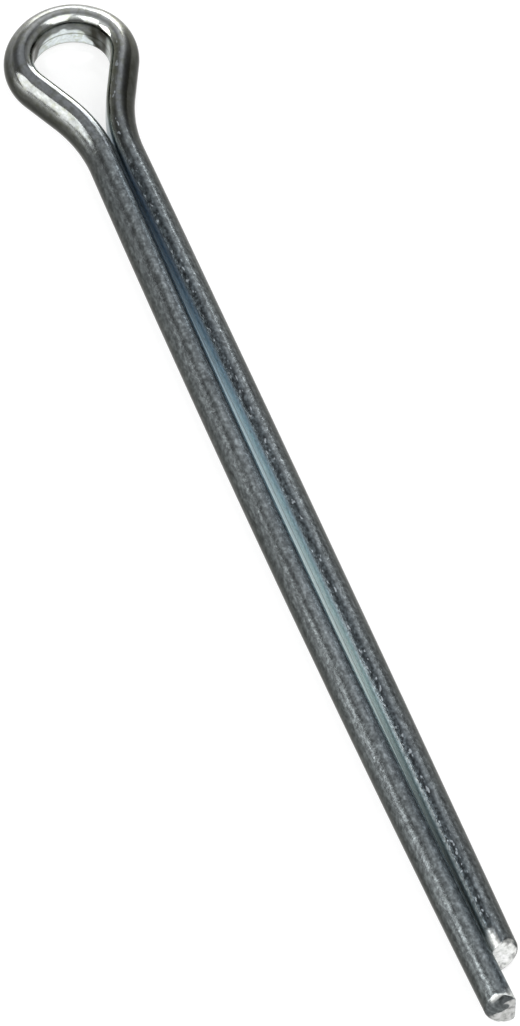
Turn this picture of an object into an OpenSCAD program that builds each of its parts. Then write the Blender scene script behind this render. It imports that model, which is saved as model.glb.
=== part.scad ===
// Cotter pin: one length of half-round wire, bent flat side inwards into an eye,
// an S-shaped neck and two prongs that lie flat to flat as a round shank.
//
// The x axis runs down the middle of the shank towards the tips, y goes across
// the flat of the eye with the short prong on the +y side, and z is up. The
// origin is on the shank's axis at the gauge plane, where the neck just fills
// the mouth of its hole. Lengths are millimetres and angles are degrees.

/* [Wire] */
// diameter of the round that the two prongs make when they are pressed together
wire_d = 5.8; // [5.2:0.1:6.2]
// rounding of the two long corners between the flat face and the round back
corner_r = 1.15; // [0.3:0.05:1.25]

/* [Eye] */
// inside width of the eye, from flat to flat
eye_w = 7.9; // [7.2:0.1:9]
// inside height of the top of the eye over the line of its widest points
crown_h = 3.4; // [3.1:0.1:3.7]
// inside radius of the bend at each shoulder of the eye
shoulder_r = 3; // [2.2:0.1:3]

/* [Neck] */
// angle between each straight flank of the eye and the shank
flank_angle = 27; // [22:1:32]
// radius of the bend from flank to prong, measured on the flat face
neck_r = 16.5; // [10:0.5:18]
// gap between the two flat faces where they come closest
neck_gap = 0.1; // [0.05:0.05:0.6]

/* [Prongs] */
// diameter of the hole that the shank is made for
hole_d = 6.75; // [6.4:0.05:8]
// length of the shank, from the gauge plane to the end of the short prong
shank_l = 102.3; // [50:0.1:130]
// length by which the long prong stands out past the short one
step_l = 5.7; // [2:0.1:10]
// angle by which the long prong leaves the axis before it bows back in
long_splay_angle = 1.2; // [0.3:0.1:2]
// angle by which the short prong leaves the axis before it bows back in
short_splay_angle = 0.25; // [0.1:0.05:1.5]

/* [Ends] */
// radius that the shears roll the back's edge to at the end of the long prong
long_roll_r = 1.2; // [0.3:0.05:1.4]
// radius that the shears roll the back's edge to at the end of the short prong
short_roll_r = 0.8; // [0.3:0.05:1.4]
// slant of the long prong's cut from square, lower edge forward
long_cut_angle = 2; // [0:1:10]
// slant of the short prong's cut from square, lower edge forward
short_cut_angle = 4; // [0:1:10]

/* [Hidden] */

// The wire is laid out at a thousandth of its size and drawn up in one step, so
// that the meeting ends of its lengths, whose places are rounded, count as one.
layout = 1 / 1000;

// half-round section: radius of the back, and height of each corner's centre
back_r = wire_d / 2;
corner_z = sqrt(pow(back_r - corner_r, 2) - pow(corner_r, 2));
// where each corner's arc runs into the back's: on the ray through both centres
join = back_r / (back_r - corner_r) * [corner_r, corner_z];

// eye: each shoulder's centre stands this far off the axis
shoulder_y = eye_w / 2 - shoulder_r;
// half the angle of the crown, and its radius, so that it runs into the shoulders
crown_a = 2 * atan((crown_h - shoulder_r) / shoulder_y);
crown_r = shoulder_y / sin(crown_a) + shoulder_r;
shoulder_a = 90 - crown_a + flank_angle;

// flank: what is left between the shoulder's end and the start of the neck bend
flank_l = (shoulder_y + shoulder_r * cos(flank_angle) - neck_gap / 2
           - neck_r * (1 - cos(flank_angle))) / sin(flank_angle);

// from the line of the eye's widest points to where the flats come closest
closest_l = shoulder_r * sin(flank_angle) + flank_l * cos(flank_angle)
            + neck_r * sin(flank_angle);
// from the gauge plane, where the neck is as wide as the hole, to the same place
gauge_l = sqrt(max(0, pow(neck_r - back_r, 2)
                      - pow(neck_r + neck_gap / 2 - hole_d / 2, 2)));
// the widest points of the eye, along the x axis
eye_x = gauge_l - closest_l;

// the straight stretch of each prong that its cut is made in
end_l = 3;

// Bow of a prong that leaves the axis by this splay: its chord runs along the
// axis from the end of the neck bend to the straight end of the short prong. The
// radius is kept to a tenth of a millimetre and the turn to a ten-thousandth of a
// degree, numbers that the layout holds whole.
function bow_chord(splay) = shank_l - gauge_l - neck_r * sin(splay) - end_l;
function bow_r(splay) = round(10 * bow_chord(splay) / (2 * sin(splay))) / 10;
// half of its turn, up to this far past the end of the chord
function bow_half_a(splay, past) =
    round(10000 * (asin(bow_chord(splay) / (2 * bow_r(splay)))
                   + past / (2 * bow_r(splay)) * 180 / PI)) / 10000;

// segments in a full turn of a bend of this radius, no piece being longer or
// turning further than this
piece_l = 2.4;
piece_a = 4;
function segments(bend_r) = ceil(360 / min(piece_a, piece_l / bend_r * 180 / PI));

// The half-round section: flat on x = 0, back towards +x. The body of it is bounded
// by the chord of each corner's arc, so each corner overlaps it.
module half_round() {
    intersection() {
        circle(back_r * layout, $fn = 36);
        polygon(layout * [[0, corner_z], [0, -corner_z],
                          [2 * join.x, corner_z - 2 * join.y], [2 * back_r, 0],
                          [2 * join.x, 2 * join.y - corner_z]]);
    }
    for (side = [0, 1]) mirror([0, side]) intersection() {
        union() {
            translate(layout * [corner_r, corner_z]) circle(corner_r * layout, $fn = 24);
            square(layout * [corner_r, corner_z]);
        }
        polygon(layout * [[0, 0], 2 * [corner_r, corner_z], [0, 2 * back_r]]);
    }
}

// Each length of wire starts at the origin, heads along +x with its flat on the
// -y side, and carries what follows it on its far end. A short core inside the wire
// crosses the faces that two lengths meet on, whose places are rounded, so that the
// lengths are one.
module core() {
    translate(layout * [0, back_r / 2, 0]) cube(layout * back_r / 3, center = true);
}

// straight length
module run(l) {
    core();
    rotate([90, 0, 90]) linear_extrude(l * layout) half_round();
    translate(layout * [l, 0, 0]) children();
}

// bend to the flat side, of radius r on the flat face
module bend_in(r, angle) {
    core();
    mirror([0, 1, 0]) translate(layout * [0, r, 0])
        rotate_extrude(start = -90, angle = angle, $fn = segments(r))
            translate(layout * [r, 0]) half_round();
    translate(layout * r * [sin(angle), cos(angle) - 1, 0]) rotate([0, 0, -angle])
        children();
}

// bend to the back, of radius r on the flat face
module bend_out(r, angle) {
    core();
    translate(layout * [0, r, 0])
        rotate_extrude(start = -90, angle = angle, $fn = segments(r))
            translate(layout * [r, 0]) mirror([1, 0]) half_round();
    translate(layout * r * [sin(angle), 1 - cos(angle), 0]) rotate([0, 0, angle])
        children();
}

// What the shears take off the end of a prong that stops at the origin: all that
// is past the slanted cut, and what is outside the rolled edge of the back. The
// roll is turned about a line square to the cut, just proud of the back, so that
// it meets the back at a slight edge all the way round.
module cut_off(slant, roll_r) {
    proud = back_r * (1 / cos(slant) - 1) + 0.03 * roll_r;
    turn_r = back_r + proud - roll_r;
    translate(layout * [-roll_r / cos(slant), 0, 0]) rotate([0, 90 - slant, 0])
        rotate_extrude($fn = 72) difference() {
            square(layout * [2 * back_r, roll_r + back_r]);
            translate(layout * [0, -roll_r]) square(layout * [turn_r, 2 * roll_r]);
            translate(layout * [turn_r, 0]) circle(roll_r * layout, $fn = 48);
        }
}

// straight end of a prong, cut off
module cut_end(slant, roll_r) {
    difference() {
        run(end_l + back_r / 2);
        translate(layout * [end_l, 0, 0]) cut_off(slant, roll_r);
    }
}

// Half of the wire, from the middle of the crown to the end of one prong, which
// goes this far past the end of the short one.
module prong(splay, past, slant, roll_r) {
    half_a = bow_half_a(splay, past);
    translate(layout * [eye_x - crown_h, 0, 0]) rotate([0, 0, 90])
        bend_in(crown_r, crown_a)
        bend_in(shoulder_r, shoulder_a)
        run(flank_l)
        bend_out(neck_r, flank_angle + splay)
        bend_in(bow_r(splay), half_a) bend_in(bow_r(splay), half_a)
        cut_end(slant, roll_r);
}

module pin() {
    color([0.66, 0.68, 0.7]) scale(1 / layout) {
        prong(short_splay_angle, 0, short_cut_angle, short_roll_r);
        mirror([0, 1, 0]) prong(long_splay_angle, step_l, long_cut_angle, long_roll_r);
    }
}

pin();
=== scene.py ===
"""Looks of the cotter pin: one length of half-round wire with an eye, an S-shaped
neck and two prongs, built as a fine swept mesh over the CAD solid it stands for."""
import math

import bmesh
import bpy
import numpy as np
from mathutils import Matrix, Vector, noise


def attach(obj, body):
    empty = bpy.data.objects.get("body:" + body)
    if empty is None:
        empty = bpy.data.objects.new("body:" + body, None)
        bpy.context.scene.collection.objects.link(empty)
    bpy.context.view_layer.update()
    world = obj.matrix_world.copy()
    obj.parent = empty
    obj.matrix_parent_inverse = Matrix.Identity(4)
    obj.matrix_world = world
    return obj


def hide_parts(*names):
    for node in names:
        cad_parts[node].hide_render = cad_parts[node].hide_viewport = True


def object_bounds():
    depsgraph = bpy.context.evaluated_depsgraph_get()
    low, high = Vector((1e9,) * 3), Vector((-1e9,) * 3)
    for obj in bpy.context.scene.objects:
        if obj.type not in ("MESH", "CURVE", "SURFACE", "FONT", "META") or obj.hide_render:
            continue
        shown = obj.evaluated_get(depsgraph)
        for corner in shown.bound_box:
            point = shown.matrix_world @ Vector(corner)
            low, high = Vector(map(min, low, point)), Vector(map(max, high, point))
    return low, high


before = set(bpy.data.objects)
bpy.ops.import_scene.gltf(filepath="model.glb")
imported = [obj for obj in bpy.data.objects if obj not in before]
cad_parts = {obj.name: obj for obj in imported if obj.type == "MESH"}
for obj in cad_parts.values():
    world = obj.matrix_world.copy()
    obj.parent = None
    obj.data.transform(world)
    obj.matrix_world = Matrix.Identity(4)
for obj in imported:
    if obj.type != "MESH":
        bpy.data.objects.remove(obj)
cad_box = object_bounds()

MM = 0.001              # in metres

# ---------------------------------------------------------------- the wire (mm, degrees)
BACK_R = 2.9            # radius of the round back; its centre is on the flat face
CORNER_R = 1.15         # rounding of the corners between flat and back
EYE_W = 7.9             # inside width of the eye
CROWN_H = 3.4           # inside height of the eye's top over its widest line
SHOULDER_R = 3.0        # inside bend at each shoulder of the eye
FLANK_A = 27.0          # slope of the eye's straight flanks to the shank
NECK_R = 16.5           # bend from flank to prong, on the flat face
NECK_GAP = 0.1          # gap where the flats come closest
HOLE_D = 6.75           # hole that the neck fills at the origin
SHANK_L = 102.3         # origin to the end of the short prong
STEP_L = 5.7            # the long prong's end past the short one's
END_L = 3.0             # straight stretch at the end of each prong

RING_STEP = 0.3         # spacing of the mesh's rings along the wire
TIGHT_R = 2 * BACK_R    # a bend tighter than this is short on its inside,
TIGHT_RINGS = 1.6       # so it gets this many times the rings
END_HIGHLIGHT_L = 5.0         # stretch at each end on which highlights are painted


def derived():
    """The sizes that follow from the ones above, as in the CAD part."""
    a = math.radians(FLANK_A)
    shoulder_y = EYE_W / 2 - SHOULDER_R
    crown_a = 2 * math.atan((CROWN_H - SHOULDER_R) / shoulder_y)
    crown_r = shoulder_y / math.sin(crown_a) + SHOULDER_R
    flank_l = (shoulder_y + SHOULDER_R * math.cos(a) - NECK_GAP / 2
               - NECK_R * (1 - math.cos(a))) / math.sin(a)
    closest = SHOULDER_R * math.sin(a) + flank_l * math.cos(a) + NECK_R * math.sin(a)
    gauge = math.sqrt((NECK_R - BACK_R) ** 2 - (NECK_R + NECK_GAP / 2 - HOLE_D / 2) ** 2)
    return crown_a, crown_r, flank_l, gauge - closest, gauge


CROWN_A, CROWN_R, FLANK_L, EYE_X, GAUGE_L = derived()


class Prong:
    """Half of the wire, from the middle of the crown to the end of one prong."""

    def __init__(self, side, past, splay, cut_a, roll_r, tear_top):
        self.side = side                        # +1 on the +y side, -1 on the -y side
        self.past = past                        # reach past the short prong's end
        self.splay = math.radians(splay)        # at which the bow leaves the axis
        self.cut_a = math.radians(cut_a)        # slant of the cut, lower edge forward
        self.roll_r = roll_r                    # radius of the edge rolled by the cut
        self.tear_top = tear_top                # height up to which the cut has torn
        self.rows = self.path()
        self.reach = self.rows[-1][3]           # length of this half of the wire

    def path(self):
        """The flat face's middle line: rows of (x, y, heading, length so far), all for
        the +y side."""
        chord = SHANK_L - GAUGE_L - NECK_R * math.sin(self.splay) - END_L
        bow_r = chord / (2 * math.sin(self.splay))
        flank_a = math.radians(FLANK_A)
        bends = [(-CROWN_R, CROWN_R * CROWN_A),
                 (-SHOULDER_R, SHOULDER_R * (math.pi / 2 - CROWN_A + flank_a)),
                 (0, FLANK_L),
                 (NECK_R, NECK_R * (flank_a + self.splay)),
                 (-bow_r, 2 * self.splay * bow_r + self.past),
                 (0, END_L)]
        x, y, heading, run = EYE_X - CROWN_H, 0.0, math.pi / 2, 0.0
        rows = [(x, y, heading, run)]
        for r, length in bends:
            spacing = RING_STEP / TIGHT_RINGS if 0 < abs(r) < TIGHT_R else RING_STEP
            steps = max(2, round(length / spacing))
            step = length / steps
            for _ in range(steps):
                turn = step / r if r else 0.0
                straight = 2 * abs(r) * math.sin(abs(turn) / 2) if r else step
                x += straight * math.cos(heading + turn / 2)
                y += straight * math.sin(heading + turn / 2)
                heading += turn
                run += step
                rows.append((x, y, heading, run))
        return rows


SHORT = Prong(+1, past=0.0, splay=0.25, cut_a=4.0, roll_r=0.8, tear_top=2.55)
LONG = Prong(-1, past=STEP_L, splay=1.2, cut_a=2.0, roll_r=1.2, tear_top=1.75)

# points of the section on its flat, each corner and its back
FLAT_POINTS, CORNER_POINTS, BACK_POINTS = 14, 11, 26


def section():
    """Points round the half-round section, from the foot of its flat: (u from the flat,
    z, length round, flat share), the last being 1 on the flat and 0 on the back."""
    centre_z = math.sqrt((BACK_R - CORNER_R) ** 2 - CORNER_R ** 2)
    meet = math.atan2(centre_z, CORNER_R)       # where each corner runs into the back
    points = []
    for i in range(FLAT_POINTS):                # flat, upwards
        points.append((0.0, -centre_z + 2 * centre_z * i / FLAT_POINTS, 1.0))
    for i in range(CORNER_POINTS):              # upper corner
        a = math.pi - (math.pi - meet) * i / CORNER_POINTS
        points.append((CORNER_R + CORNER_R * math.cos(a),
                       centre_z + CORNER_R * math.sin(a), 1 - i / CORNER_POINTS))
    for i in range(BACK_POINTS):                # back, downwards
        a = meet - 2 * meet * i / BACK_POINTS
        points.append((BACK_R * math.cos(a), BACK_R * math.sin(a), 0.0))
    for i in range(CORNER_POINTS):              # lower corner
        a = -meet - (math.pi - meet) * i / CORNER_POINTS
        points.append((CORNER_R + CORNER_R * math.cos(a),
                       -centre_z + CORNER_R * math.sin(a), i / CORNER_POINTS))
    rows, run = [], 0.0
    last_u, last_z = points[0][:2]
    for u, z, share in points:
        run += math.hypot(u - last_u, z - last_z)
        rows.append((u, z, run, share))
        last_u, last_z = u, z
    return rows


SECTION = section()

# ---------------------------------------------------------------- form of the surface
WAVE, RIPPLE = 0.010, 0.004     # depth of the waves that drawing leaves in the back
PROUD = 1.01            # outer radius of the rolled edge, in radii of the back
TEAR, TEAR_GRAIN = 0.07, 0.035  # relief of the torn cuts, coarse and fine
TEAR_WOBBLE = 0.22      # by which the edge of the torn part wanders
TEAR_EDGE = 0.16        # over which it passes into the smooth part
SMEAR_AT = (1.65, 0.80)         # smear under the long prong's upper edge, (u, z),
SMEAR_SIZE = (0.95, 0.66)       # and its half width and half height


def ease(x):
    """0 up to 0 and 1 from 1 on, with a smooth rise between."""
    x = min(1.0, max(0.0, x))
    return x * x * (3 - 2 * x)


def passing(x, zero, one):
    """0 where x is at `zero` or beyond it, 1 at `one` or beyond it, and eased between.
    Either may be the larger."""
    return ease((x - zero) / (one - zero))


def dents(s, u, z):
    """How far the plated surface lies in from the true form, s mm along the wire: soft
    waves and shorter ripples left by drawing."""
    wave = noise.noise(Vector((s / 9.0, u / 1.6, z / 1.6)))
    ripple = noise.noise(Vector((s / 2.6 + 40, u / 1.1, z / 1.1)))
    return WAVE * wave + RIPPLE * ripple


def end_depth(prong, u, z):
    """How far a point of the section stops short of the square end of the prong."""
    turn_r = PROUD * BACK_R - prong.roll_r
    rolled = max(0.0, math.hypot(u, z) - turn_r)
    back = prong.roll_r - math.sqrt(max(0.0, prong.roll_r ** 2 - rolled ** 2))
    return back + z * math.tan(prong.cut_a)


def torn_share(prong, u, z):
    """1 where the end has torn, 0 where the shears rolled or smeared it."""
    wobble = TEAR_WOBBLE * noise.noise(Vector((u * 1.7, z * 1.7, 20.0 + prong.side)))
    # the tear runs on over the rolled edge, on the long prong mostly low down
    over = 0.60 if prong is SHORT else 0.30 + 0.75 * passing(z, 0.3, -0.7)
    edge = BACK_R - prong.roll_r + over + wobble - math.hypot(u, z)
    inside = min(edge, prong.tear_top + 0.5 * wobble - z)
    if prong is LONG:
        smear = math.hypot((u - SMEAR_AT[0]) / SMEAR_SIZE[0], (z - SMEAR_AT[1]) / SMEAR_SIZE[1])
        inside = min(inside, smear + 0.8 * wobble - 0.92)
    return min(1.0, max(0.0, inside / TEAR_EDGE))


def tear(prong, u, z):
    """Relief of the torn part of the end."""
    grain = noise.noise(Vector((u * 2.1 + 7 * prong.side, z * 2.1, 3.0)))
    fine = noise.noise(Vector((u * 6.5, z * 6.5 + 5 * prong.side, 9.0)))
    return TEAR * grain + TEAR_GRAIN * fine


# ---------------------------------------------------------------- painted reflections, shade and highlights on the zinc
# the painted dark reflection, an arch inside the crown
ARCH_Z = 0.52           # height of its lower edge in the middle,
ARCH_FALL, ARCH_FALL_L = 1.9, 2.9       # which falls by this much at this distance
ARCH_SHIFT = 0.6        # by which it starts later on the short prong's half
ARCH_END = 5.9          # distance from the crown's middle at which it ends


def round_back(u, z):
    """Angle in degrees from the outermost line of the back."""
    return math.degrees(math.atan2(abs(z), u))


def painted_dark_arch(prong, s, u, z):
    """Painted dark reflection in the tight inside of the crown, s mm along the wire from its
    middle: an arch that starts on the upper corner and reaches down at both shoulders,
    further from the middle on the short prong's half."""
    mottle = noise.noise(Vector((prong.side * s / 0.8, z / 0.8, 4.0)))
    away = max(0.0, s - ARCH_SHIFT) if prong is SHORT else s
    edge = ARCH_Z - ARCH_FALL * (away / ARCH_FALL_L) ** 3 + 0.50 * mottle
    on_flat = passing(u, 0.42, 0.17)
    inside = on_flat * passing(z, edge, edge + 0.45) * passing(s, ARCH_END, ARCH_END - 0.9)
    return inside * (0.80 + 0.15 * passing(away, 1.8, 3.0) + 0.16 * mottle)


def painted_side_shade(prong, s, u, z):
    """Painted shade: darker zinc for dark reflections on the outermost of the back and, in
    the eye and neck, all down the outside of the short prong's half and on its corners
    round the hole."""
    angle = round_back(u, z)
    in_eye = passing(s, 1.5, 5.5) * passing(s, 21, 14)
    outermost = 0.55 * passing(angle, 40, 16) + 0.45 * passing(angle, 16, 4)
    if prong is LONG:
        return max(outermost, 0.90 * in_eye * passing(angle, 34, 20))
    start = 54 + 10 * in_eye
    outside = (0.42 + 0.53 * in_eye) * passing(angle, start, start - 15)
    round_hole = passing(s, 4.5, 6.5) * passing(s, 24, 16)
    corner = round_hole * passing(u, 1.00, 0.70) * passing(z, 0.9, 1.3)
    return max(outermost, outside, corner)


def painted_highlights(prong, s, u, z):
    """Painted highlights, paler zinc on the outside of the crown and of one shoulder, and at
    the ends, on the long prong's upper edge and the short prong's last corner."""
    left = prong.reach - s
    if left < END_HIGHLIGHT_L:
        if prong is LONG:
            return passing(left, 0.9, 0.2) * passing(z, 1.2, 1.8)
        return passing(left, 2.6, 1.2) * passing(z, 0.3, 0.8) * passing(u, 1.0, 0.6)
    angle = round_back(u, z)
    from_crown = prong.side * s
    return (0.42 * passing(angle, 22, 36) * passing(angle, 72, 62)
            * passing(from_crown, -5, -2) * passing(from_crown, 9, 5))


def painted_cut_highlight(u, z):
    """A painted highlight: a bright line on the upper edge of a cut."""
    inside = BACK_R - math.hypot(u, z)
    return 0.7 * passing(inside, 0.34, 0.12) * passing(z, 1.3, 1.8)


# ---------------------------------------------------------------- the mesh
DENT_U = 1.2            # middle of the section, which the dents go towards
EDGE_ROOM = 0.35        # left free of plain rings before the edge of the cut
EDGE_RINGS = (0.30, 0.18, 0.08, 0.0)    # how far short of the edge its rings stand
ROLL_RINGS, ROLL_STEP = 12, 0.035       # rings over the rolled edge, shrinking by this
FACE_STEPS = 13         # steps from there to the middle of the cut


class WireMesh:
    """Vertices and faces of the wire, with the values that its material reads."""

    def __init__(self):
        self.verts, self.faces = [], []
        self.values = {name: [] for name in ("wire", "flat", "cut", "dark_arch_paint", "highlight_paint", "side_shade_paint")}

    def add(self, prong, row, u, z, s, w, share=0.0, ahead=0.0, torn=None):
        """A vertex at (u, z) of the section that stands at a row of the path, or some
        mm ahead of it. It is s mm along the wire and w mm round it, and has a share of
        the flat. On the cut, `torn` says how torn it is."""
        x, y, heading, _ = row
        px = x - u * math.sin(heading) + ahead * math.cos(heading)
        py = y + u * math.cos(heading) + ahead * math.sin(heading)
        self.verts.append((px * MM, prong.side * py * MM, z * MM))
        on_cut = torn is not None
        marks = {"wire": (prong.side * s, w, 0.0),
                 "flat": share,
                 "cut": torn if on_cut else 0.0,
                 "dark_arch_paint": painted_dark_arch(prong, s, u, z),
                 "highlight_paint": painted_cut_highlight(u, z) if on_cut else painted_highlights(prong, s, u, z),
                 "side_shade_paint": 0.0 if on_cut else painted_side_shade(prong, s, u, z)}
        for name, value in marks.items():
            self.values[name].append(value)
        return len(self.verts) - 1

    def ring(self, prong, row):
        """A plain ring of the wire, dented everywhere but on the flat."""
        ids = []
        s = row[3]
        for u, z, w, share in SECTION:
            r = math.hypot(u - DENT_U, z)
            depth = dents(prong.side * s, u, z) * min(1.0, 2 * (1 - share))
            ids.append(self.add(prong, row, u - depth * (u - DENT_U) / r, z - depth * z / r,
                                s, w, share))
        return ids

    def edge_ring(self, prong, back):
        """A ring that stands some mm back from the edge of the cut."""
        ids = []
        for u, z, w, share in SECTION:
            depth = end_depth(prong, u, z) + back
            ids.append(self.add(prong, prong.rows[-1], u, z, prong.reach - depth, w, share,
                                ahead=-depth))
        return ids

    def cut_vertex(self, prong, u, z, w):
        """A vertex on the face of the cut."""
        depth = end_depth(prong, u, z)
        torn = torn_share(prong, u, z)
        return self.add(prong, prong.rows[-1], u, z, prong.reach - depth, w,
                        ahead=torn * tear(prong, u, z) - depth, torn=torn)

    def half(self, prong, rows):
        """The rings along rows of the path and over the cut, and the cut's middle."""
        deepest = max(end_depth(prong, u, z) for u, z, _, _ in SECTION)
        plain_l = prong.reach - deepest - EDGE_ROOM
        rings = [self.ring(prong, row) for row in rows if row[3] < plain_l]
        rings += [self.edge_ring(prong, back) for back in EDGE_RINGS]
        sizes = [1 - ROLL_STEP * (k + 1) for k in range(ROLL_RINGS)]
        sizes += [sizes[-1] * (1 - k / FACE_STEPS) for k in range(1, FACE_STEPS)]
        middle = CORNER_R       # of the cut, from the flat
        for size in sizes:
            rings.append([self.cut_vertex(prong, middle + (u - middle) * size, z * size, w)
                          for u, z, w, _ in SECTION])
        return rings, self.cut_vertex(prong, middle, 0.0, 0.0)

    def skin(self, a, b):
        """Faces between two rings."""
        for i in range(len(a)):
            j = (i + 1) % len(a)
            self.faces.append((a[i], a[j], b[j], b[i]))

    def close(self, ring, middle):
        """Faces from a ring to the point in its middle."""
        for i in range(len(ring)):
            self.faces.append((ring[i], ring[(i + 1) % len(ring)], middle))

    def mesh(self, name):
        mesh = bpy.data.meshes.new(name)
        mesh.from_pydata(self.verts, [], self.faces)
        for key, values in self.values.items():
            kind, field = ("FLOAT_VECTOR", "vector") if key == "wire" else ("FLOAT", "value")
            layer = mesh.attributes.new(key, kind, "POINT")
            layer.data.foreach_set(field, np.array(values, float).ravel())
        mesh.validate()
        bm = bmesh.new()
        bm.from_mesh(mesh)
        bmesh.ops.recalc_face_normals(bm, faces=bm.faces)
        bm.to_mesh(mesh)
        bm.free()
        mesh.shade_smooth()
        return mesh


def new_object(name, data):
    """An object in the scene for this mesh, lamp or camera."""
    obj = bpy.data.objects.new(name, data)
    bpy.context.scene.collection.objects.link(obj)
    return obj


def build_wire():
    """Both halves of the wire, which share the ring at the middle of the crown."""
    wire = WireMesh()
    short_rings, short_tip = wire.half(SHORT, SHORT.rows)
    long_rings, long_tip = wire.half(LONG, LONG.rows[1:])
    chain = short_rings[::-1] + long_rings
    for a, b in zip(chain, chain[1:]):
        wire.skin(a, b)
    wire.close(short_rings[-1], short_tip)
    wire.close(long_rings[-1], long_tip)
    return new_object("cotter_wire", wire.mesh("wire"))


# ---------------------------------------------------------------- materials
def grey(level):
    return (level, level, level)


class Nodes:
    """Short calls for building a node tree."""

    def __init__(self, owner):
        owner.use_nodes = True
        self.tree = owner.node_tree
        self.tree.nodes.clear()

    def new(self, kind, **values):
        node = self.tree.nodes.new(kind)
        for key, value in values.items():
            setattr(node, key, value)
        return node

    def link(self, out, socket):
        self.tree.links.new(out, socket)

    def put(self, socket, value):
        if isinstance(value, bpy.types.NodeSocket):
            self.link(value, socket)
        else:
            socket.default_value = value

    def attribute(self, name, out="Fac"):
        return self.new("ShaderNodeAttribute", attribute_name=name).outputs[out]

    def split(self, vector):
        """The x, y and z of a vector."""
        node = self.new("ShaderNodeSeparateXYZ")
        self.link(vector, node.inputs[0])
        return node.outputs

    def math(self, op, a, b=0.0, clamp=False):
        node = self.new("ShaderNodeMath", operation=op, use_clamp=clamp)
        self.put(node.inputs[0], a)
        self.put(node.inputs[1], b)
        return node.outputs[0]

    def add(self, first, *rest):
        for term in rest:
            first = self.math("ADD", first, term)
        return first

    def times(self, first, *rest):
        for factor in rest:
            first = self.math("MULTIPLY", first, factor)
        return first

    def rising(self, value, start, width):
        """0 up to `start`, and from there up to 1 over this width."""
        return self.math("DIVIDE", self.math("SUBTRACT", value, start), width, True)

    def noise(self, where, scale, detail=3.0, rough=0.5, stretch=(1, 1, 1), shift=(0, 0, 0)):
        mapping = self.new("ShaderNodeMapping")
        self.link(where, mapping.inputs["Vector"])
        mapping.inputs["Scale"].default_value = stretch
        mapping.inputs["Location"].default_value = shift
        node = self.new("ShaderNodeTexNoise")
        self.link(mapping.outputs[0], node.inputs["Vector"])
        node.inputs["Scale"].default_value = scale
        node.inputs["Detail"].default_value = detail
        node.inputs["Roughness"].default_value = rough
        return node.outputs["Fac"]

    def ramp(self, value, *stops):
        """Colours by value, each stop being (value, colour)."""
        node = self.new("ShaderNodeValToRGB")
        self.put(node.inputs[0], value)
        band = node.color_ramp
        while len(band.elements) < len(stops):
            band.elements.new(0.5)
        for element, (at, colour) in zip(band.elements, stops):
            element.position = at
            element.color = (*colour, 1.0)
        return node.outputs[0]

    def levels(self, value, *stops):
        """Greys by value, each stop being (value, level)."""
        return self.ramp(value, *((at, grey(level)) for at, level in stops))

    def mix(self, share, a, b, blend="MIX"):
        node = self.new("ShaderNodeMix", data_type="RGBA", blend_type=blend)
        factor, first, second = (node.inputs[i] for i in (0, 6, 7))
        self.put(factor, share)
        self.put(first, (*a, 1.0) if isinstance(a, tuple) else a)
        self.put(second, (*b, 1.0) if isinstance(b, tuple) else b)
        return node.outputs[2]

    def multiply(self, a, b):
        return self.mix(1.0, a, b, "MULTIPLY")

    def finish(self, shader, kind):
        """Links the shader to the tree's output."""
        self.link(shader.outputs[0], self.new(kind).inputs[0])


class OnWire:
    """What the wire's material knows of a place: its marks, and the noises there."""

    def __init__(self, n):
        self.wire = n.attribute("wire", "Vector")   # mm along, mm round
        self.flat = n.attribute("flat")             # 1 on the flat, 0 on the back
        self.cut = n.attribute("cut")               # torn by the shears
        self.dark_arch_paint = n.attribute("dark_arch_paint")               # painted dark reflection, inside the crown
        self.highlight_paint = n.attribute("highlight_paint")             # painted highlights on the crown and at the cut ends
        self.side_shade_paint = n.attribute("side_shade_paint")       # painted shade, mostly on the back's outer sides
        along = n.split(self.wire)["X"]
        reach = n.math("ABSOLUTE", along)
        self.short = n.math("GREATER_THAN", along, 0.0)     # 1 on the short prong's half
        self.shank = n.rising(reach, 12.0, 10.0)    # 0 in the eye, 1 down the shank
        self.length = n.rising(reach, 0.0, 125.0)   # 0 at the crown, near 1 at the tips
        # 1 on the flats, and on the corners next to them, which are smooth
        edge = n.add(0.42, n.times(self.shank, 0.24))
        self.smooth = n.rising(self.flat, edge, 0.15)
        self.rougher = n.times(self.shank, n.math("SUBTRACT", 1.0, self.smooth))
        solid = n.new("ShaderNodeTexCoord").outputs["Object"]
        self.cloud = n.noise(self.wire, 0.16, 4.0, 0.55, stretch=(0.35, 1.6, 1))
        self.lines = n.noise(self.wire, 1.0, 4.0, 0.6, stretch=(0.07, 2.4, 1))
        self.speck = n.noise(solid, 1500.0, 2.0, 0.5)
        self.grain = n.noise(solid, 2600.0, 2.5, 0.6)
        self.fine = n.noise(solid, 9000.0, 2.0, 0.6, shift=(3, 1, 2))


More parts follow.
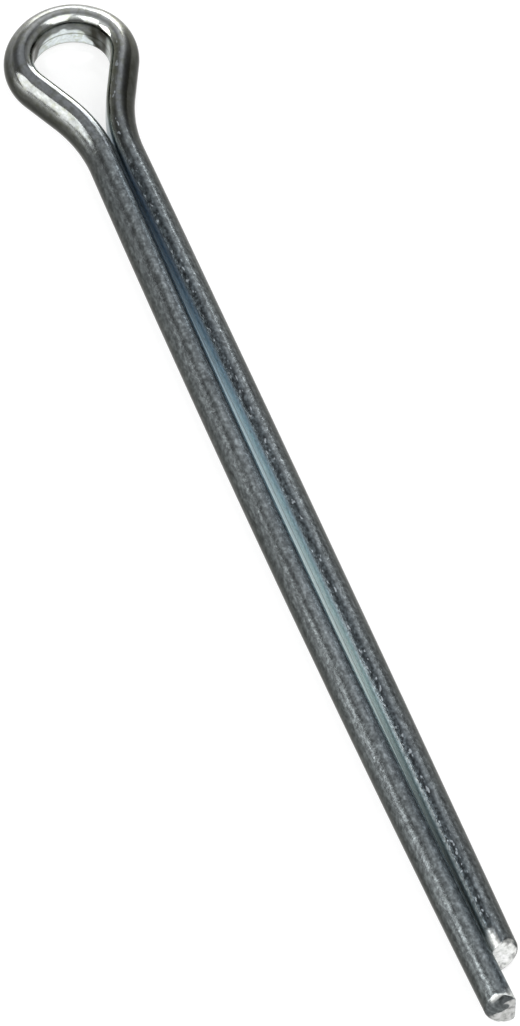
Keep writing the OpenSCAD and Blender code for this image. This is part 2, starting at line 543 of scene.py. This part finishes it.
def back_colour(n, at):
    """The back, painted dark for the dark room that it reflects, and lighter and bluish on
    top as a painted reflection: drawn and blotched on the shank, cleaner in the eye.
    """
    # painted reflection: a lighter band where the back turns into the corner, darker on either
    # side
    shank = n.ramp(at.flat, (0.0, (0.077, 0.085, 0.087)), (0.14, (0.120, 0.134, 0.139)),
                   (0.30, (0.140, 0.157, 0.167)), (0.42, (0.078, 0.092, 0.101)),
                   (0.58, (0.098, 0.117, 0.128)))
    # painted dark reflection: the short prong's corner is darker, and mottled
    mottle = n.noise(at.wire, 1.0, 3.0, 0.6, stretch=(2.0, 3.0, 1), shift=(2, 8, 0))
    mottle = n.levels(mottle, (0.42, 0.30), (0.62, 0.90))
    mottle = n.mix(n.levels(at.flat, (0.34, 0.0), (0.46, 1.0)), grey(1.0), mottle)
    shank = n.multiply(shank, n.mix(at.short, grey(1.0), mottle))
    # the same painted reflection bands in the eye
    eye = n.ramp(at.flat, (0.0, (0.094, 0.098, 0.096)), (0.12, (0.120, 0.127, 0.133)),
                 (0.30, (0.146, 0.156, 0.164)), (0.45, (0.108, 0.114, 0.118)),
                 (0.60, (0.094, 0.098, 0.098)))
    colour = n.mix(at.shank, eye, shank)
    colour = n.multiply(colour, n.levels(at.cloud, (0.30, 0.84), (0.52, 1.0), (0.72, 1.20)))
    colour = n.multiply(colour, n.levels(at.length, (0.18, 1.00), (0.62, 1.10), (0.90, 0.98)))
    blotch = n.noise(at.wire, 1.0, 3.0, 0.6, stretch=(1.0, 1.9, 1), shift=(5, 2, 0))
    streak = n.multiply(n.levels(at.lines, (0.36, 0.88), (0.50, 1.0), (0.66, 1.14)),
                        n.levels(blotch, (0.34, 0.68), (0.50, 1.0), (0.66, 1.40)))
    streak = n.mix(n.add(0.50, n.times(at.shank, 0.50)), grey(1.0), streak)
    return n.multiply(colour, streak)


def flat_colour(n, at):
    """The flats, and the corners next to them: the zinc's bluish tint, with painted shade and
    light by the gap between the prongs: bright in the eye, darker blue by the neck where the
    gap is narrow, then paler where it opens, and grey at the tips where it narrows again."""
    flats = n.ramp(at.length, (0.08, (0.68, 0.73, 0.74)), (0.13, (0.38, 0.49, 0.58)),
                   (0.26, (0.46, 0.59, 0.69)), (0.40, (0.76, 0.90, 0.96)),
                   (0.66, (0.88, 0.99, 0.99)), (0.88, (0.46, 0.53, 0.55)))
    corners = n.ramp(at.length, (0.10, (0.45, 0.47, 0.46)), (0.15, (0.30, 0.33, 0.35)),
                     (0.20, (0.18, 0.21, 0.25)), (0.28, (0.20, 0.24, 0.28)),
                     (0.40, (0.34, 0.41, 0.46)), (0.70, (0.46, 0.54, 0.57)),
                     (0.90, (0.22, 0.25, 0.26)))
    return n.mix(n.levels(at.flat, (0.80, 0.0), (0.96, 1.0)), corners, flats)


def painted_corner_highlight(n, at):
    """Where a mottled highlight is painted along the short prong's corner, towards its tip."""
    patches = n.noise(at.wire, 1.0, 2.0, 0.6, stretch=(1.6, 1.2, 1), shift=(1, 6, 0))
    return n.times(n.levels(patches, (0.38, 0.15), (0.58, 1.0)),
                   n.levels(at.length, (0.56, 0.0), (0.74, 1.0)),
                   n.levels(at.flat, (0.66, 0.0), (0.73, 1.0), (0.80, 1.0), (0.88, 0.0)),
                   at.short, 0.85)


def painted_glints(n, at):
    """Where painted glints, bright specks, stand in a row along the short prong's upper corner.
    """
    dots = n.noise(at.wire, 1.0, 1.0, 0.5, stretch=(1.3, 2.6, 1), shift=(9, 4, 0))
    return n.times(n.levels(dots, (0.62, 0.0), (0.68, 1.0)),
                   n.levels(at.flat, (0.38, 0.0), (0.44, 1.0), (0.60, 1.0), (0.68, 0.0)),
                   n.math("MAXIMUM", at.shank, at.side_shade_paint), at.short, 0.50)


def torn_colour(n, at):
    """The torn grain of the cuts, darker on the long prong."""
    torn = n.ramp(at.speck, (0.33, grey(0.42)), (0.46, (0.74, 0.75, 0.73)), (0.62, grey(0.92)))
    return n.multiply(torn, n.mix(at.short, grey(0.62), grey(1.0)))


def wire_colour(n, at):
    colour = n.mix(at.smooth, back_colour(n, at), flat_colour(n, at))
    # painted highlight along the short prong's corner
    colour = n.mix(painted_corner_highlight(n, at), colour, (0.66, 0.69, 0.69))
    # painted highlights: paler zinc on the crown's outside and at the cut ends
    colour = n.mix(n.times(at.highlight_paint, 0.75), colour, (0.66, 0.67, 0.65))
    # painted dark reflection: the arch inside the crown
    colour = n.mix(at.dark_arch_paint, colour, (0.030, 0.030, 0.024))
    # painted shade: the darker outer sides of the back
    colour = n.mix(at.side_shade_paint, colour, n.multiply(colour, (0.40, 0.40, 0.36)))
    pepper = n.levels(at.grain, (0.34, 0.70), (0.50, 1.0), (0.64, 1.38))
    colour = n.mix(n.add(0.25, n.times(at.rougher, 0.75)), colour, n.multiply(colour, pepper))
    # yellowish mottling of the zinc in the eye
    fleck = n.ramp(at.speck, (0.38, (0.84, 0.84, 0.76)), (0.52, grey(1.0)))
    colour = n.multiply(colour, n.mix(at.shank, fleck, grey(1.0)))
    # painted glints along the short prong's upper corner
    colour = n.mix(painted_glints(n, at), colour, (0.55, 0.60, 0.64))
    return n.mix(at.cut, colour, torn_colour(n, at))


def wire_roughness(n, at):
    """Smoothest in the eye, away from the painted highlights, which are rougher, and roughest
    on the torn cuts.
    """
    return n.add(0.13, n.times(at.shank, 0.10), n.times(at.smooth, at.shank, 0.20),
                 n.times(at.highlight_paint, 0.25), n.times(at.cut, 0.30))


def wire_relief(n, at):
    """The drawn lines and the grain, faint in the eye and on the smooth zinc."""
    bump = n.new("ShaderNodeBump")
    n.link(n.add(0.16, n.times(at.rougher, 0.84)), bump.inputs["Strength"])
    bump.inputs["Distance"].default_value = 0.02 * MM
    height = n.add(n.times(at.lines, 0.5), n.times(at.grain, 0.75), n.times(at.fine, 0.25))
    n.link(height, bump.inputs["Height"])
    return bump.outputs[0]


def plated_steel():
    """Zinc-plated wire: a drawn back painted dark for the dark room it reflects, brighter
    bluish flats, cut ends, with painted highlights and shade.
    """
    material = bpy.data.materials.new("zinc_plated_steel")
    n = Nodes(material)
    at = OnWire(n)
    shader = n.new("ShaderNodeBsdfPrincipled")
    shader.inputs["Metallic"].default_value = 1.0
    shader.inputs["Specular Tint"].default_value = (0.66, 0.66, 0.65, 1.0)
    n.link(wire_colour(n, at), shader.inputs["Base Color"])
    n.link(wire_roughness(n, at), shader.inputs["Roughness"])
    n.link(wire_relief(n, at), shader.inputs["Normal"])
    n.finish(shader, "ShaderNodeOutputMaterial")
    return material


def seen_directly(n):
    """1 for the camera's own rays and for what metal and glass show."""
    rays = n.new("ShaderNodeLightPath").outputs
    both = n.math("MAXIMUM", rays["Is Camera Ray"], rays["Is Glossy Ray"])
    return n.math("MAXIMUM", both, rays["Is Transmission Ray"])


# ---------------------------------------------------------------- the stage (metres)
FLOOR_SIZE = 4.0
FLOOR_CELLS = 8
FLOOR_GLOW = 0.72        # keeps the floor white where it is seen
WORLD_LEVEL = 0.15       # light that the room gives
WALL_LEVEL = 0.50        # what metal shows of the room above the white floor's edge,
DARK_WALL = 0.38         # of its dark right-hand wall
CEILING_LEVEL = 1.20     # and of its ceiling, white being 1


def floor_material():
    material = bpy.data.materials.new("white_floor")
    n = Nodes(material)
    shader = n.new("ShaderNodeBsdfPrincipled")
    shader.inputs["Base Color"].default_value = (0.38, 0.38, 0.38, 1.0)
    shader.inputs["Roughness"].default_value = 0.15
    shader.inputs["Specular IOR Level"].default_value = 0.5
    shader.inputs["Emission Color"].default_value = (1, 1, 1, 1)
    n.link(n.times(seen_directly(n), FLOOR_GLOW), shader.inputs["Emission Strength"])
    n.finish(shader, "ShaderNodeOutputMaterial")
    return material


def make_floor(z):
    """A square floor round the origin, in square cells."""
    lines = FLOOR_CELLS + 1
    places = [FLOOR_SIZE * (i / FLOOR_CELLS - 0.5) for i in range(lines)]
    first = [j * lines + i for j in range(FLOOR_CELLS) for i in range(FLOOR_CELLS)]
    mesh = bpy.data.meshes.new("floor")
    mesh.from_pydata([(x, y, z) for y in places for x in places], [],
                     [(k, k + 1, k + 1 + lines, k + lines) for k in first])
    mesh.materials.append(floor_material())
    return new_object("floor", mesh)


def set_world():
    """A room with darker walls over a white floor, which lights the pin evenly."""
    world = bpy.data.worlds.new("studio")
    bpy.context.scene.world = world
    n = Nodes(world)
    towards = n.split(n.new("ShaderNodeTexCoord").outputs["Generated"])
    # the floor's edge, the walls and the ceiling, by the height of the direction
    seen = n.levels(towards["Z"], (0.03, 1.0), (0.20, WALL_LEVEL), (0.52, WALL_LEVEL),
                    (0.80, CEILING_LEVEL))
    # the dark wall is on the right, except at its far end
    right = n.rising(towards["Y"], 0.35, 0.20)
    front = n.rising(towards["X"], -0.45, 0.25)
    seen = n.mix(n.times(right, front), seen, grey(DARK_WALL))
    back = n.new("ShaderNodeBackground")
    n.link(n.mix(seen_directly(n), grey(WORLD_LEVEL), seen), back.inputs["Color"])
    back.inputs["Strength"].default_value = 1.0
    n.finish(back, "ShaderNodeOutputWorld")


def soft_box(name, azimuth, elevation, distance, width, height, radiance, lean=0):
    """A rectangular area lamp that faces the origin; azimuth 0 is +x, 90 is +y. Its top
    leans by some degrees towards a greater azimuth."""
    a, e = math.radians(azimuth), math.radians(elevation)
    towards = Vector((math.cos(e) * math.cos(a), math.cos(e) * math.sin(a), math.sin(e)))
    data = bpy.data.lights.new(name, "AREA")
    data.shape = "RECTANGLE"
    data.size, data.size_y = width, height
    data.energy = radiance * math.pi * width * height    # watts for that radiance
    lamp = new_object(name, data)
    lamp.visible_camera = False
    lamp.location = towards * distance
    facing = towards.to_track_quat("Z", "Y").to_matrix()
    lamp.rotation_euler = (facing @ Matrix.Rotation(-math.radians(lean), 3, "Z")).to_euler()


# ---------------------------------------------------------------- the camera
# The direction in which it stands from the pin, and how the frame lies on it.
VIEW_TILT = 28.56       # from straight above, towards the tips
VIEW_TURN = 14.81       # and then to the long prong's side
VIEW_ROLL = 25.05       # the shank's slope to the frame's upright
VIEW_DISTANCE = 2.20    # metres
FRAME_HEIGHT = 0.10110  # metres of subject over the height of the frame
FRAME_PX = 1026         # and pixels over it
AIM = (46.0, 0.0, 0.0)  # a point on the shank's axis, mm, and its place in the frame,
AIM_RIGHT, AIM_DOWN = 16.63, -12.13     # in pixels from the frame's middle
SENSOR = 36.0           # mm over the height of the frame
CLIP_END = 100.0        # metres


def set_camera():
    """The camera, from the direction and the place of the aim in the frame."""
    tilt, turn, roll = (math.radians(v) for v in (VIEW_TILT, VIEW_TURN, VIEW_ROLL))
    sideways, upright = math.sin(turn), math.cos(turn)
    to_camera = Vector((math.sin(tilt), -math.cos(tilt) * sideways, math.cos(tilt) * upright))
    across = Vector((0, upright, sideways))
    along = Vector((math.cos(tilt), math.sin(tilt) * sideways, -math.sin(tilt) * upright))
    right = math.cos(roll) * across + math.sin(roll) * along
    down = -math.sin(roll) * across + math.cos(roll) * along
    pixel = FRAME_HEIGHT / FRAME_PX
    middle = Vector(AIM) * MM - right * AIM_RIGHT * pixel - down * AIM_DOWN * pixel
    data = bpy.data.cameras.new("camera")
    data.sensor_fit = "VERTICAL"
    data.sensor_height = SENSOR
    data.lens = SENSOR * VIEW_DISTANCE / FRAME_HEIGHT
    data.clip_end = CLIP_END
    camera = new_object("camera", data)
    facing = Matrix((right, -down, to_camera)).transposed().to_4x4()
    camera.matrix_world = Matrix.Translation(middle + to_camera * VIEW_DISTANCE) @ facing
    bpy.context.scene.camera = camera


pin = build_wire()
pin.data.materials.append(plated_steel())
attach(pin, "root")
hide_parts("pin")

floor = make_floor(cad_box[0][2])

set_world()
# the windows that the highlights in the eye show
soft_box("left_window", azimuth=-94, elevation=21, distance=1.2,
         width=0.68, height=0.76, radiance=8.5, lean=20)
soft_box("front_left_window", azimuth=-52, elevation=40, distance=1.4,
         width=0.74, height=1.50, radiance=2.4)
soft_box("front_right_window", azimuth=19, elevation=48, distance=1.4,
         width=0.76, height=1.80, radiance=2.6, lean=18)
soft_box("back_window", azimuth=139, elevation=19, distance=1.2,
         width=0.44, height=0.82, radiance=7.5, lean=8)
soft_box("back_strip", azimuth=167, elevation=8, distance=1.3,
         width=0.66, height=0.60, radiance=4.5)
set_camera()
bpy.context.scene.view_settings.view_transform = "Standard"
